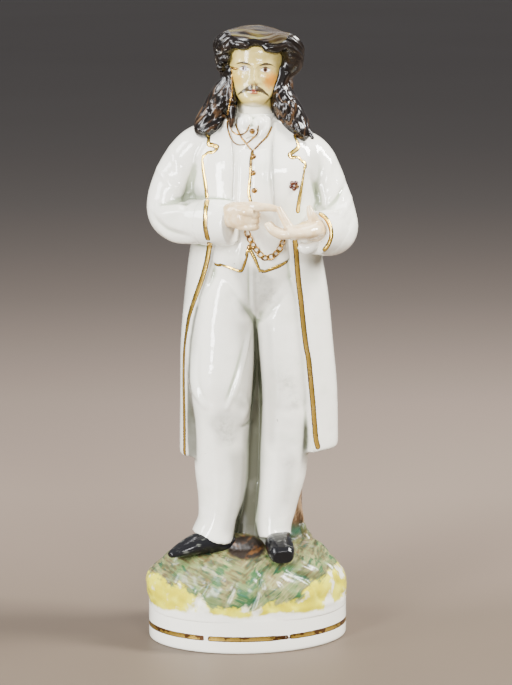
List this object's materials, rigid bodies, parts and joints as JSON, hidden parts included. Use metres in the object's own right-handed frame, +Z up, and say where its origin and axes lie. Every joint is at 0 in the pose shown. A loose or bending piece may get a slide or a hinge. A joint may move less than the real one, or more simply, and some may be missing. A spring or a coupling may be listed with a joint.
{
  "type": "actor figure",
  "caption": "Glazed earthenware figure of a long-haired man in a frock coat, one hand pointing into the open palm of the other, on an oval grassy plinth.",
  "frame": {"origin": "centre of the oval plinth's flat underside", "axes": "+Z up from the underside through the head, -Y the way the plinth's front and the figure face, +X to the viewer's right"},
  "size_m": [0.1225, 0.1045, 0.3604],
  "materials": {
    "glazed_earthenware": "glossy white glaze over earthenware"
  },
  "bodies": {
    "root": {"figure": "glazed_earthenware"}
  },
  "joints": []
}
